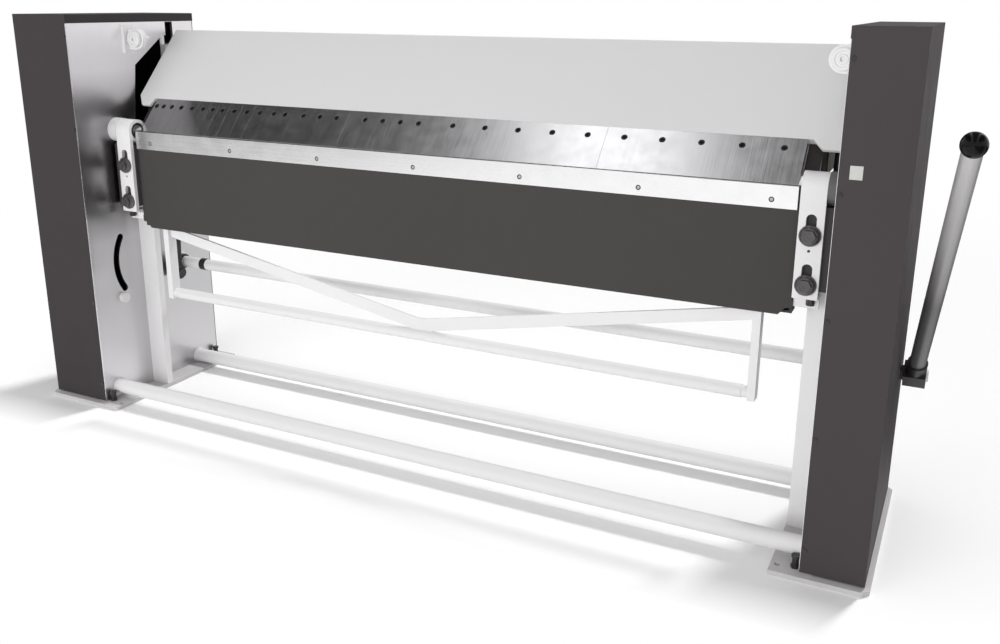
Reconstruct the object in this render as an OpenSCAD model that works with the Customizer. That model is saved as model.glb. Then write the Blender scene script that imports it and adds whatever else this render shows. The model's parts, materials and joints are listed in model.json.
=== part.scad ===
// Box and pan brake: a manual swing beam folding machine for sheet metal.
// Millimetres, Z up, X along the fold line, the operator stands at minus Y.
// The origin is on the floor, midway between the columns and midway front to back.

/* [Working faces] */
// Working length of the bed and of the row of fingers
work_len = 2060; // [1600:20:2600]
// Height of the fold line above the floor
fold_h = 910; // [890:1:925]
// Distance of the fold line ahead of the middle of the columns
fold_ahead = 110; // [100:1:125]
// Lean of the finger faces and of the beam face, from level
face_angle = 48; // [46:1:50]

/* [Columns] */
// Room at each end between the fingers and the side plate
end_room = 105; // [102:1:125]
// Depth of a column from front to back
col_depth = 540; // [500:10:620]
// Height of the columns above the top of the clamping beam
col_over = 54.84; // [44:0.02:100]
// Thickness of a side plate
plate_t = 8; // [6:1:10]
// Width of the bent edges of a side plate
plate_edge_w = 30; // [22:1:40]
// Thickness of the sheet of a column cover
cover_t = 2.5; // [1.5:0.5:4]
// Width of the left column from the inner face of its side plate
left_col_w = 227; // [180:1:300]
// Width of the right column from the inner face of its side plate
right_col_w = 148; // [130:1:220]
// Height of the lip that the cover folds over the top of the side plate
lip_h = 26; // [20:1:26]
// Thickness of that lip
lip_t = 2.3; // [1:0.1:4]

/* [Side plate cut-outs] */
// Distance from the fold line back to the front edge of the throat
throat_back = 81; // [78:1:90]
// Height of the lower edge of the throat above the fold line
throat_foot = 15; // [10:1:20]
// Distance from the fold line back to the knee of the throat
knee_back = 103; // [95:1:115]
// Height of the knee above the fold line
knee_up = 200; // [180:5:215]
// Distance from the fold line back to the shoulder of the throat
shoulder_back = 234; // [225:1:240]
// Height of the shoulder above the fold line
shoulder_up = 292; // [280:1:300]
// Radius of the curved slot in the left side plate
arc_r = 160; // [140:5:175]
// Half of the angle that the curved slot spans
arc_half = 33; // [25:1:40]
// Width of the curved slot
arc_w = 24; // [16:1:28]
// Height of the centre of the curved slot
arc_h = 467; // [440:1:480]
// Distance of the centre of the curved slot ahead of the column middle
arc_ahead = 7; // [0:1:20]
// Radius of the bolt head below the curved slot
arc_bolt_r = 17; // [12:1:20]
// Height of that bolt
arc_bolt_h = 349; // [300:1:360]
// Distance of that bolt ahead of the column middle
arc_bolt_ahead = 153; // [130:1:180]

/* [Base plates] */
// Thickness of a base plate
base_t = 12; // [8:1:16]
// Width of the foot that shows inside the columns
base_foot = 70; // [66:1:100]
// Margin of the base plate outside the cover
base_lip = 12; // [6:1:20]
// Margin of the base plate in front of and behind the column
base_toe = 18; // [12:1:30]
// Corner cut of the base plate
base_corner = 15; // [5:1:25]
// Radius of an anchor hole
anchor_r = 7; // [5:0.5:9]
// Distance of an anchor hole from the inner edge of the base plate
anchor_in = 16; // [14:1:28]
// Distance of an anchor hole from the front or back edge
anchor_end = 35; // [25:1:50]
// Radius of a levelling bolt
level_r = 8; // [6:1:10]
// Distance of a levelling bolt from the inner edge of the base plate
level_in = 57; // [50:1:58]
// Distance of a levelling bolt from the front or back edge
level_end = 40; // [36:1:44]
// Height of a levelling bolt above the floor
level_h = 46; // [36:1:60]

/* [Posts and tie tubes] */
// Width of a post across the front
post_w = 67; // [50:1:80]
// Depth of a post
post_d = 25; // [20:1:40]
// Thickness of the post metal
post_t = 5; // [3:1:8]
// Radius of a tie tube
tie_r = 24.15; // [20:0.05:30]
// Wall of a tie tube
tie_wall = 3.2; // [2:0.1:5]
// Distance of the front tie tube ahead of the column middle
front_tie_ahead = 208; // [180:1:220]
// Height of the front tie tube
front_tie_h = 51; // [48:1:120]
// Distance of the rear tie tube behind the column middle
rear_tie_back = 172; // [140:1:200]
// Height of the rear tie tube
rear_tie_h = 37; // [37:1:120]

/* [Bed] */
// Distance of the front of the bed beam behind the fold line
bed_setback = 54; // [50:1:65]
// Depth of the bed beam
bed_d = 92; // [85:1:105]
// Height of the bed beam
bed_beam_h = 203; // [180:1:230]
// Wall of the bed beam
bed_wall = 8; // [5:1:12]
// Thickness of the bed blade
blade_t = 17; // [14:1:22]
// Height of the upright land at the nose of the blade
blade_land = 5; // [3:1:8]
// Depth of the slope under the nose of the blade
blade_run = 13; // [8:1:20]
// Length of the blade nose past the fingers at each end
blade_over = 5; // [2:1:8]
// Depth of the flange at each end of the bed beam
bed_flange_d = 122; // [110:1:140]

/* [Pivots and arms] */
// Radius of a pivot bearing
bearing_r = 38; // [34:1:42]
// Length of a pivot bearing inside the side plate
bearing_l = 34; // [30:1:40]
// Radius of a pivot pin
pivot_r = 18; // [14:1:20]
// Wall of a pivot bush
bush_t = 8; // [4:0.5:10]
// Radius of the hub of an arm
hub_r = 36; // [34:1:38]
// Thickness of the hanging plate of an arm
arm_t = 12; // [10:1:14]
// Gap between the apron and an arm
arm_gap = 2.5; // [2.3:0.1:5]
// Length that the plate of an arm hangs below the fold line
arm_drop = 260; // [255:1:280]
// Height of the foot of an arm
arm_foot_h = 36; // [28:1:44]
// Thickness of the shelf that joins the foot to the plate
arm_shelf_t = 10; // [8:1:12]
// Distance of the front of the foot behind the plate
arm_foot_back = 20; // [19:1:24]
// Gap between the foot and the raised lug
arm_foot_gap = 12; // [10.5:0.5:14]
// Radius of the head of a height screw across its corners
height_head_r = 10; // [8:0.5:10.5]
// Length of that head
height_head_l = 16; // [10:1:20]
// Distance of a height screw outside the middle of its arm
height_screw_out = 11; // [0:1:14]
// Width of a slot in an arm
slot_w = 24; // [20:1:28]
// Length of a slot in an arm
slot_l = 70; // [64:1:80]
// Distance of the upper knob below the fold line
knob_drop = 108; // [104:1:112]
// Distance between the two knobs of an arm
knob_pitch = 118; // [112:1:122]
// Distance of a knob below the middle of its slot
knob_low = 15; // [10:1:15]
// Radius of the peg hole between the slots
peg_r = 3.5; // [2:0.5:5]

/* [Apron] */
// Length of the apron past the fingers at each end
apron_over = 10; // [8:1:12]
// Height of the apron from its lower edge to the fold line
apron_h = 314; // [300:1:330]
// Thickness of the front plate of the apron
apron_t = 9.7; // [8:0.1:12]
// Depth of the stiffening box behind the plate
box_d = 44; // [30:1:48]
// Height of the stiffening box
box_h = 246; // [200:1:250]
// Height of the box above the lower edge of the plate
box_up = 4; // [2:1:10]
// Wall of the stiffening box
box_wall = 6; // [4:1:10]
// Radius of the drain hole in each end of the box
drain_r = 20; // [10:1:25]
// Length of the corner cut along the lower edge of the plate
corner_run = 30; // [20:1:40]
// Height of the corner cut
corner_rise = 18; // [10:1:22]
// Distance that the end tabs stand out
tab_out = 2; // [1:0.1:2.2]
// Height of an end tab
tab_h = 20; // [10:1:30]
// Thickness of a lug that carries the knobs
lug_t = 30; // [26:0.1:34]
// Reach of a lug past the outer side of its arm
lug_past = 24; // [4:1:30]
// Height of a lug above the upper knob
lug_over = 66; // [50:1:68]
// Height of a lug below the lower knob
lug_under = 16; // [14:1:20]

/* [Bending bar] */
// Height of the bending bar
bar_h = 55; // [45:1:65]
// Thickness of the bending bar
bar_t = 8; // [6:1:10]
// Length of the bar past the fingers at each end
bar_over = 5; // [2:1:6]
// Number of screws in the bar
bar_screws = 7; // [5:1:11]
// Radius of the head of a bar screw
bar_head_r = 6.5; // [5:0.5:8]
// Radius of the thread of a bar screw
bar_screw_r = 4; // [3:0.5:4.5]
// Distance of the end screws from the end of the fingers
bar_screw_end = 55; // [30:1:80]
// Height of the screws above the lower edge of the bar
bar_screw_up = 20; // [12:1:30]

/* [Truss] */
// Distance of a truss leg from the end of the apron
truss_inset = 70; // [50:5:120]
// Width of a truss leg across the front
leg_w = 20; // [14:1:30]
// Depth of a truss leg
leg_d = 34; // [32:1:44]
// Length of the truss below the box
truss_drop = 242; // [200:1:260]
// Radius of the truss tube
truss_r = 17; // [12:0.5:17]
// Radius of the plugs in the ends of the truss tube
plug_r = 15.5; // [10:0.5:16.5]
// Length of a plug between the tube and the leg
plug_l = 16; // [8:1:30]
// Height of the flat of the vee brace
brace_h = 33; // [20:1:40]
// Thickness of the vee brace
brace_t = 8; // [4:1:12]
// Height of the top of the vee above the tube centre
brace_up = 53; // [50:1:60]
// Width of the flat at the bottom of the vee
brace_flat = 40; // [20:1:80]

/* [Lock knobs] */
// Radius of the flange of a knob
knob_r = 25; // [20:1:27]
// Thickness of that flange
knob_flange_t = 6; // [4:1:9]
// Length of the cone between the flange and the cap
knob_cone_l = 5; // [3:1:8]
// Length of the six-sided cap
knob_cap_l = 8; // [6:1:14]
// Radius of the cap across its corners
knob_cap_r = 17; // [13:1:18]
// Radius of the shank of a knob
shank_r = 8; // [6:0.5:9]

/* [Fingers] */
// Length of the face of a finger
finger_l = 129; // [120:1:140]
// Thickness of a finger
finger_t = 22; // [18:1:24]
// Distance up the face at which the wedge of the nose ends
wedge_l = 38; // [32:1:44]
// Distance of the finger screws below the top of the finger
finger_screw_down = 29; // [22:1:40]
// Radius of the head of a finger screw
finger_head_r = 8; // [6:0.5:9]
// Radius of the thread of a finger screw
finger_screw_r = 5; // [4:0.5:5.5]

/* [Clamping beam] */
// Length of the beam face above the fingers
beam_face = 285; // [275:1:290]
// Width of the flat top of the beam
beam_top_w = 36; // [30:1:44]
// Height of the back of the beam
beam_back_h = 228; // [210:1:235]
// Thickness of the seat under the fingers
seat_t = 18; // [14:1:20]
// Distance up the face at which the seat begins
seat_heel = 50; // [45:1:60]
// Wall of the beam
beam_wall = 10; // [8:1:12]
// Thickness of the face plate
face_t = 8; // [6:1:12]
// Length of the beam box past the fingers at each end
beam_box_over = 36; // [30:1:40]
// Distance from the side plate to the end of the face plate
face_end_gap = 23; // [18:1:30]
// Length of the ears of the face plate down beside the fingers
ear_drop = 27; // [15:1:35]
// Slope of the inner edge of the left ear
ear_in_run = 6; // [3:1:12]
// Slope of the outer edge of the left ear
ear_out_run = 28; // [20:1:34]
// Slope of the inner edge of the right ear
right_ear_run = 25; // [6:1:34]
// Gap between the end finger and an ear
ear_gap = 12; // [8:1:16]
// Thickness of a guide tongue
tongue_t = 33; // [28:1:36]
// Height of a guide tongue
tongue_h = 180; // [160:1:190]
// Distance from the back of the beam to a guide tongue
tongue_in = 30; // [26:1:36]
// Reach of a guide tongue past the inner face of the side plate
tongue_out = 65; // [50:1:70]

/* [Beam pins and guides] */
// Radius of a beam pin
beam_pin_r = 10; // [8:0.5:11]
// Distance of a beam pin ahead of the tongue
beam_pin_ahead = 45; // [40:1:50]
// Height of a beam pin above the foot of the beam back
beam_pin_up = 30; // [26:1:40]
// Width of a guide rail from front to back
rail_d = 20; // [14:1:26]
// Depth of a guide rail into the column
rail_w = 62; // [45:1:66]

/* [Stop screws] */
// Distance of a stop screw from the side plate
stop_in = 42; // [38:1:46]
// Distance of a stop screw below the top of the column
stop_down = 79; // [74:1:85]
// Distance of the bracket web ahead of the column middle
stop_ahead = 18; // [10:1:26]
// Thickness of the bracket web
stop_web_t = 16; // [12:1:20]
// Radius of the round end of the bracket web
stop_eye_r = 33; // [30:1:36]
// Thickness of the bracket flange
stop_flange_t = 12; // [8:1:14]
// Depth of the bracket flange
stop_flange_d = 38; // [34:1:60]
// Height of the bracket flange
stop_flange_h = 88; // [80:1:92]
// Radius of the head of a stop screw
stop_head_r = 26; // [20:1:28]
// Thickness of that head
stop_head_t = 13; // [8:1:18]
// Radius of the shank of a stop screw
stop_r = 10; // [8:0.5:11]
// Length of the shank behind the bracket web
stop_reach = 34; // [33:1:98]
// Radius of the lock nut on a stop screw
stop_nut_r = 17.5; // [14:0.5:20]
// Thickness of that lock nut
stop_nut_t = 12; // [8:1:16]

/* [Clamp shaft] */
// Height of the clamp shaft
shaft_h = 419; // [405:1:440]
// Distance of the clamp shaft behind the beam pins
shaft_back = 10; // [6:1:14]
// Radius of the shaft tube between the cranks
shaft_r = 19; // [17:0.5:21]
// Radius of the shaft journals
journal_r = 15; // [12:0.5:16]
// Radius of the flange of a shaft bearing
shaft_flange_r = 34; // [30:1:40]
// Thickness of that flange
shaft_flange_t = 12; // [8:1:14]
// Radius of the spigot of a shaft bearing
spigot_r = 20; // [18:1:24]
// Throw of a crank
crank_throw = 52; // [46:1:56]
// Angle of a crank pin below level at rest
crank_low = 35; // [32:1:37]
// Thickness of a crank
crank_t = 18; // [14:1:22]
// Radius of the boss of a crank
crank_boss_r = 26; // [22:1:28]
// Radius of a crank pin
crank_pin_r = 12; // [9:0.5:13]
// Radius of the ring on the left of the shaft
ring_r = 20.5; // [19.5:0.5:26]
// Length of that ring
ring_l = 24; // [16:1:40]
// Distance of the shaft ring from the left side plate
ring_in = 130; // [110:1:160]

/* [Tie rods] */
// Thickness of the eyes of a tie rod
rod_t = 18; // [14:1:20]
// Radius of a tie rod
rod_r = 9; // [7:0.5:11]
// Radius of the lower eye
eye_r = 22; // [18:1:24]
// Wall round the slotted upper eye
eye_wall = 9; // [6:1:12]
// Play of the beam pin in the upper eye
eye_play = 1.25; // [1:0.05:1.5]

/* [Lever] */
// Length of the lever from the shaft to the centre of its ball
lever_l = 850; // [700:10:900]
// Forward lean of the lever from upright at rest
lever_lean = 40; // [30:1:45]
// Outward lean of the lever
lever_out = 4.5; // [0:0.5:6]
// Radius of the lever tube
lever_r = 19.5; // [15:0.5:21]
// Wall of the lever tube
lever_wall = 3; // [2:0.5:5]
// Radius of the ball
ball_r = 25; // [22:0.5:30]
// Width of the lever hub along the shaft
lever_hub_w = 53; // [45:1:60]
// Depth of the lever hub
lever_hub_d = 50; // [44:1:56]
// Height of the lever hub
lever_hub_h = 44; // [40:1:52]
// Radius of the neck of the lever hub
neck_r = 24; // [22.5:0.5:27]
// Length of the neck from the shaft
neck_l = 58; // [48:1:80]
// Gap between the cover and the lever hub
lever_gap = 10; // [6:1:20]

/* [Cover screws] */
// Number of screws in each upright edge of a cover
cover_screw_rows = 5; // [3:1:8]
// Height of the lowest screw above the base plate
cover_screw_foot = 63; // [40:1:90]
// Distance of the highest screw below the top
cover_screw_top = 65; // [40:1:90]
// Radius of the head of a cover screw
cover_head_r = 5; // [4:0.5:6]
// Height of that head
cover_head_h = 2.5; // [1.5:0.5:4]
// Radius of the thread of a cover screw
cover_screw_r = 3; // [2:0.5:3.5]
// Distance of the screws outside the inner face of the side plate
cover_screw_in = 7; // [6:1:10]

/* [Fits] */
// Clearance between faces that meet or pass
face_gap = 0.3; // [0.2:0.05:0.5]
// Radial clearance of a running pin
run_gap = 0.05; // [0.02:0.01:0.09]
// Radial clearance of a fixed pin or screw
seat_gap = 0.02; // [0.01:0.01:0.05]
// Height of the fingers above the bed, and of the bed above the apron plate
nose_gap = 0.5; // [0.3:0.1:1]
// Clearance of a tongue in its slot
tongue_gap = 0.4; // [0.3:0.05:0.6]

/* [Hidden] */
// How far a cut runs past the face that it opens, and a joint into its neighbour
over = 1;
// Gap between a base plate and the lower edge of a cover
cover_lift = 4;
// Spare height of the tongue slot above the raised tongue
slot_spare = 16;
// Side gap between an eye and the flanges of its pin
eye_side_gap = 4;
// Thickness of the head of a pin
pin_head_t = 4;
// Length of the shaft past the last piece at each end
shaft_tail = 5;
// Segments of a full circle
$fn = 96;

// Widths of the fingers from the right end, as shares of the whole row
finger_width_shares = [100, 100, 60, 40, 20, 10, 10, 10, 9, 7, 9, 9, 9, 7, 7, 5];
// Number of screws in each finger
finger_screw_counts = [5, 5, 4, 3, 2, 1, 1, 1, 1, 1, 1, 1, 1, 1, 1, 1];
// Distance from the first to the last screw, as shares of the finger's width
finger_spread_shares = [0.8, 0.8, 0.6, 0.6, 0.42, 0, 0, 0, 0, 0, 0, 0, 0, 0, 0, 0];
finger_count = len(finger_width_shares);

dark_grey = [0.31, 0.30, 0.30];
white_enamel = [0.86, 0.86, 0.86];
pale_grey = [0.78, 0.78, 0.79];
ground_steel = [0.66, 0.67, 0.69];
bright_steel = [0.76, 0.77, 0.79];
black_steel = [0.10, 0.10, 0.11];
dark_steel = [0.22, 0.22, 0.23];

// Places along X
work_half = work_len / 2;
frame_half = work_half + end_room;
apron_half = work_half + apron_over;
arm_in = apron_half + arm_gap;
arm_out = frame_half - bearing_l - face_gap;
arm_mid = (arm_in + arm_out) / 2;
lug_in = apron_half;
lug_out = arm_out + lug_past;
box_end = work_half + beam_box_over;
face_end = frame_half - face_end_gap;
base_in = frame_half - base_foot;

// Places along Y
fold_y = -fold_ahead;
half_depth = col_depth / 2;
plate_half_d = half_depth - cover_t - face_gap;
apron_back_y = fold_y - face_gap;
apron_front_y = apron_back_y - apron_t;
bar_front_y = apron_front_y - bar_t;
arm_front_y = fold_y - hub_r;
arm_back_y = arm_front_y + arm_t;
lug_front_y = arm_back_y + face_gap;
lug_back_y = lug_front_y + lug_t;
bed_front_y = fold_y + bed_setback;
bed_back_y = bed_front_y + bed_d;
base_half_d = half_depth + base_toe;
level_y = base_half_d - level_end;
anchor_y = base_half_d - anchor_end;

// Places along Z
apron_low = fold_h - apron_h;
box_low = apron_low + box_up;
blade_low = fold_h - blade_t;
bed_low = blade_low - bed_beam_h;
knob_upper_z = fold_h - knob_drop;
knob_lower_z = knob_upper_z - knob_pitch;
foot_top = knob_lower_z - lug_under - arm_foot_gap;
truss_low = box_low - truss_drop;
truss_z = truss_low + truss_r;
nose_z = fold_h + nose_gap;

// A point at distance s up the finger face and depth t behind it, as Y and Z
function on_face(s, t) = [
    fold_y + s * cos(face_angle) + t * sin(face_angle),
    nose_z + s * sin(face_angle) - t * cos(face_angle)
];

// The points of a right half of an outline, followed by those of its mirror image
function with_mirror(points) = concat(
    points,
    [for (k = [len(points) - 1 : -1 : 0]) [-points[k][0], points[k][1]]]
);

// The clamping beam in its closed place
face_top = finger_l + beam_face;
beam_crown = on_face(face_top, 0);
col_h = beam_crown[1] + col_over;
plate_top = col_h - cover_t - face_gap;
stop_z = col_h - stop_down;
beam_back_y = beam_crown[0] + beam_top_w;
beam_foot_z = beam_crown[1] - beam_back_h;
tongue_back_y = beam_back_y - tongue_in;
tongue_front_y = tongue_back_y - tongue_t;
tongue_top_z = beam_foot_z + tongue_h;
beam_pin_y = tongue_front_y - beam_pin_ahead;
beam_pin_z = beam_foot_z + beam_pin_up;
seat_back = finger_t + seat_t;

// The clamp shaft, its cranks and its tie rods
shaft_y = beam_pin_y + shaft_back;
crank_pin_y = shaft_y - crank_throw * cos(crank_low);
crank_pin_z = shaft_h - crank_throw * sin(crank_low);
beam_lift = 2 * crank_throw * sin(crank_low);
eye_shift = crank_throw * (1 - cos(crank_low)) / 2;
eye_y = beam_pin_y + eye_shift;
eye_slot_r = beam_pin_r + eye_play;
pin_flange_t = beam_pin_r * 0.8;
rod_in = box_end + pin_flange_t + eye_side_gap;
rod_out = rod_in + rod_t;
crank_in = rod_out + eye_side_gap;
crank_out = crank_in + crank_t;
rod_rise = beam_pin_z - crank_pin_z;
rod_tilt = atan2(eye_y - crank_pin_y, rod_rise);
rod_span = norm([eye_y - crank_pin_y, rod_rise]);

// Fingers
share_sum = share_before(finger_count);
function finger_name(i) = str("finger_", i < 9 ? "0" : "", i + 1);
function share_before(i) = i == 0 ? 0 : finger_width_shares[i - 1] + share_before(i - 1);
function finger_right(i) = work_half - work_len * share_before(i) / share_sum;
function finger_screw_xs(i) = [
    for (k = [0 : finger_screw_counts[i] - 1])
        let (width = finger_right(i) - finger_right(i + 1),
             middle = (finger_right(i) + finger_right(i + 1)) / 2,
             gaps = max(finger_screw_counts[i] - 1, 1))
        middle + (k / gaps - 1 / 2) * width * finger_spread_shares[i]
];
finger_screw_s = finger_l - finger_screw_down;
finger_head_t = finger_screw_r * 1.6;
finger_grip_t = finger_t + seat_t * 0.8;

// Screws of the bending bar
bar_low = fold_h - bar_h;
bar_screw_z = bar_low + bar_screw_up;
bar_head_t = bar_t / 2;
bar_pitch = (work_len - 2 * bar_screw_end) / (bar_screws - 1);

// Screws of the covers
cover_screw_low = base_t + cover_screw_foot;
cover_screw_pitch = (col_h - cover_screw_top - cover_screw_low) / (cover_screw_rows - 1);

// Building blocks
module side(s) {
    if (s < 0)
        mirror([1, 0, 0]) children();
    else
        children();
}

module both_sides() {
    children();
    mirror([1, 0, 0]) children();
}

module block(low, high) {
    translate(low) cube(high - low);
}

module rod_along_x(x0, x1, r) {
    translate([x0, 0, 0]) rotate([0, 90, 0]) cylinder(r = r, h = x1 - x0);
}

module rod_along_y(y0, y1, r) {
    translate([0, y0, 0]) rotate([-90, 0, 0]) cylinder(r = r, h = y1 - y0);
}

// An outline in Y and Z, drawn out along X
module prism_along_x(x0, x1) {
    translate([x0, 0, 0]) rotate([90, 0, 90]) linear_extrude(x1 - x0) children();
}

// An outline in X and Z, drawn out along Y
module prism_along_y(y0, y1) {
    translate([0, y1, 0]) rotate([90, 0, 0]) linear_extrude(y1 - y0) children();
}

// Frame of the finger face: Y runs up the face, Z stands off it
module at_face() {
    translate([0, fold_y, nose_z]) rotate([face_angle, 0, 0]) children();
}

// Base plates
module base_plate(col_w) {
    edge = frame_half + col_w + base_lip;
    difference() {
        linear_extrude(base_t)
            polygon([
                [base_in, -base_half_d], [edge - base_corner, -base_half_d],
                [edge, base_corner - base_half_d], [edge, base_half_d - base_corner],
                [edge - base_corner, base_half_d], [base_in, base_half_d]
            ]);
        for (y = [-1, 1]) {
            translate([base_in + anchor_in, y * anchor_y, -over])
                cylinder(r = anchor_r, h = base_t + 2 * over);
            translate([base_in + level_in, y * level_y, -over])
                cylinder(r = level_r + seat_gap, h = base_t + 2 * over);
        }
    }
}

module base_plates() {
    color(pale_grey) {
        side(-1) base_plate(left_col_w);
        base_plate(right_col_w);
    }
}

// Levelling bolts: stud, nut and round head in one
module levelling_bolts() {
    nut_r = level_r * 1.35;
    nut_t = level_r;
    head_t = level_r * 0.7;
    color(black_steel)
    both_sides()
        for (y = [-1, 1])
            translate([base_in + level_in, y * level_y, 0]) {
                cylinder(r = level_r, h = level_h);
                translate([0, 0, base_t]) cylinder(r = nut_r, h = nut_t, $fn = 6);
                translate([0, 0, level_h - head_t]) cylinder(r = nut_r, h = head_t);
            }
}

// Side plates
module throat_outline() {
    slot_top = tongue_top_z + beam_lift + slot_spare;
    polygon([
        [fold_y + throat_back, fold_h + throat_foot],
        [fold_y + knee_back, fold_h + knee_up],
        [fold_y + shoulder_back, fold_h + shoulder_up],
        [tongue_front_y - tongue_gap, fold_h + shoulder_up],
        [tongue_front_y - tongue_gap, slot_top],
        [tongue_back_y + tongue_gap, slot_top],
        [tongue_back_y + tongue_gap, fold_h + throat_foot]
    ]);
}

module arc_slot() {
    // The wedge keeps only the front of the ring
    reach = arc_r * 2;
    low = frame_half - over;
    high = frame_half + plate_t + over;
    translate([0, -arc_ahead, arc_h]) {
        intersection() {
            difference() {
                rod_along_x(low, high, arc_r + arc_w / 2);
                rod_along_x(low - over, high + over, arc_r - arc_w / 2);
            }
            prism_along_x(low, high)
                polygon([
                    [0, 0], [-reach * cos(arc_half), -reach * sin(arc_half)],
                    [-reach * cos(arc_half), reach * sin(arc_half)]
                ]);
        }
        for (end = [-1, 1])
            translate([0, -arc_r * cos(arc_half), end * arc_r * sin(arc_half)])
                rod_along_x(low, high, arc_w / 2);
    }
}

module side_plate(has_arc) {
    low = frame_half - over;
    high = frame_half + plate_t + over;
    edge_x = frame_half + plate_edge_w;
    color(pale_grey)
    difference() {
        union() {
            block([frame_half, -plate_half_d, base_t], [frame_half + plate_t, plate_half_d, plate_top]);
            block([frame_half, -plate_half_d, base_t], [edge_x, plate_t - plate_half_d, plate_top]);
            block([frame_half, plate_half_d - plate_t, base_t], [edge_x, plate_half_d, plate_top]);
        }
        prism_along_x(low, high) throat_outline();
        translate([0, fold_y, fold_h]) rod_along_x(low, high, pivot_r + seat_gap);
        translate([0, shaft_y, shaft_h]) rod_along_x(low, high, spigot_r + seat_gap);
        if (has_arc) {
            arc_slot();
            translate([0, -arc_bolt_ahead, arc_bolt_h])
                rod_along_x(low, high, arc_bolt_r / 2 + seat_gap);
        }
        for (y = [-half_depth, plate_half_d - plate_t - over], k = [0 : cover_screw_rows - 1])
            translate([frame_half + cover_screw_in, 0, cover_screw_low + k * cover_screw_pitch])
                rod_along_y(y, y + plate_t + cover_t + 2 * over, cover_screw_r + seat_gap);
    }
}

// The bolt below the curved slot of the left side plate
module slot_bolt() {
    head_t = arc_bolt_r * 0.8;
    color(white_enamel)
    side(-1)
    translate([0, -arc_bolt_ahead, arc_bolt_h]) {
        rod_along_x(frame_half - head_t, frame_half, arc_bolt_r);
        rod_along_x(frame_half - over, frame_half + plate_t, arc_bolt_r / 2);
        rod_along_x(frame_half + plate_t, frame_half + plate_t + head_t, arc_bolt_r);
    }
}

// Covers
module cover(col_w, shaft_hole) {
    low = base_t + cover_lift;
    color(dark_grey)
    difference() {
        block([frame_half - lip_t, -half_depth, low], [frame_half + col_w, half_depth, col_h]);
        block([frame_half, cover_t - half_depth, low - over],
              [frame_half + col_w - cover_t, half_depth - cover_t, col_h - cover_t]);
        block([frame_half - lip_t - over, -half_depth - over, low - over],
              [frame_half, half_depth + over, col_h - lip_h]);
        if (shaft_hole)
            translate([0, shaft_y, shaft_h])
                rod_along_x(frame_half + col_w - cover_t - over, frame_half + col_w + over,
                            journal_r * 1.1);
        for (k = [0 : cover_screw_rows - 1])
            translate([frame_half + cover_screw_in, 0, cover_screw_low + k * cover_screw_pitch])
                rod_along_y(-half_depth - over, half_depth + over, cover_screw_r + seat_gap);
    }
}

module cover_screws() {
    color(black_steel)
    both_sides()
        for (turn = [0, 1], k = [0 : cover_screw_rows - 1])
            mirror([0, turn, 0])
                translate([frame_half + cover_screw_in, 0, cover_screw_low + k * cover_screw_pitch]) {
                    rod_along_y(-half_depth - cover_head_h, -half_depth, cover_head_r);
                    rod_along_y(-half_depth - over, plate_t - plate_half_d, cover_screw_r);
                }
}

// Posts under the bed
module posts() {
    color(white_enamel)
    both_sides()
    difference() {
        block([frame_half - post_w, bed_front_y, base_t], [frame_half, bed_front_y + post_d, bed_low]);
        block([frame_half - post_w + post_t, bed_front_y + post_t, base_t - over],
              [frame_half - post_t, bed_front_y + post_d + over, bed_low + over]);
    }
}

// Tie tubes
module tie_tube(y, z) {
    translate([0, y, z])
    difference() {
        rod_along_x(-frame_half, frame_half, tie_r);
        rod_along_x(-frame_half - over, frame_half + over, tie_r - tie_wall);
    }
}

module tie_tubes() {
    color(white_enamel) {
        tie_tube(-front_tie_ahead, front_tie_h);
        tie_tube(rear_tie_back, rear_tie_h);
    }
}

// Bed beam with a flange at each end
module bed_beam() {
    color(white_enamel)
    difference() {
        union() {
            block([-frame_half, bed_front_y, bed_low], [frame_half, bed_back_y, blade_low]);
            both_sides()
                block([frame_half - bed_wall, bed_front_y, bed_low],
                      [frame_half, bed_front_y + bed_flange_d, blade_low]);
        }
        block([-frame_half - over, bed_front_y + bed_wall, bed_low + bed_wall],
              [frame_half + over, bed_back_y - bed_wall, blade_low - bed_wall]);
    }
}

// Bed blade: its nose is as long as the fingers, its back reaches the side plates
module bed_blade() {
    nose_y = fold_y + face_gap;
    back_y = fold_y + max(hub_r, bearing_r) + over;
    nose_half = work_half + blade_over;
    color(ground_steel) {
        prism_along_x(-nose_half, nose_half)
            polygon([
                [nose_y, fold_h], [nose_y, fold_h - blade_land], [nose_y + blade_run, blade_low],
                [bed_back_y, blade_low], [bed_back_y, fold_h]
            ]);
        block([-frame_half, back_y, blade_low], [frame_half, bed_back_y, fold_h]);
    }
}

// Pivots
module pivot_bearings() {
    color(white_enamel)
    both_sides()
        translate([0, fold_y, fold_h])
        difference() {
            rod_along_x(frame_half - bearing_l, frame_half, bearing_r);
            rod_along_x(frame_half - bearing_l - over, frame_half + over, pivot_r + seat_gap);
        }
}

module pivot_pins() {
    pin_end = frame_half + 2 * plate_t;
    color(bright_steel)
    both_sides()
        translate([0, fold_y, fold_h]) {
            rod_along_x(arm_in + over, pin_end, pivot_r);
            rod_along_x(frame_half + plate_t, pin_end, pivot_r * 1.4);
        }
}

module pivot_bushes() {
    color(dark_steel)
    both_sides()
        translate([0, fold_y, fold_h])
        difference() {
            rod_along_x(arm_in + over, arm_out - over, pivot_r + run_gap + bush_t);
            rod_along_x(arm_in, arm_out, pivot_r + run_gap);
        }
}

// Arms: a hub on the fold line and a slotted plate that hangs in front of the lugs
module arm_slot(z) {
    straight = slot_l / 2 - slot_w / 2;
    translate([arm_mid, 0, z]) {
        for (end = [-1, 1])
            translate([0, 0, end * straight])
                rod_along_y(arm_front_y - over, arm_back_y + over, slot_w / 2);
        block([-slot_w / 2, arm_front_y - over, -straight], [slot_w / 2, arm_back_y + over, straight]);
    }
}

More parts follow.
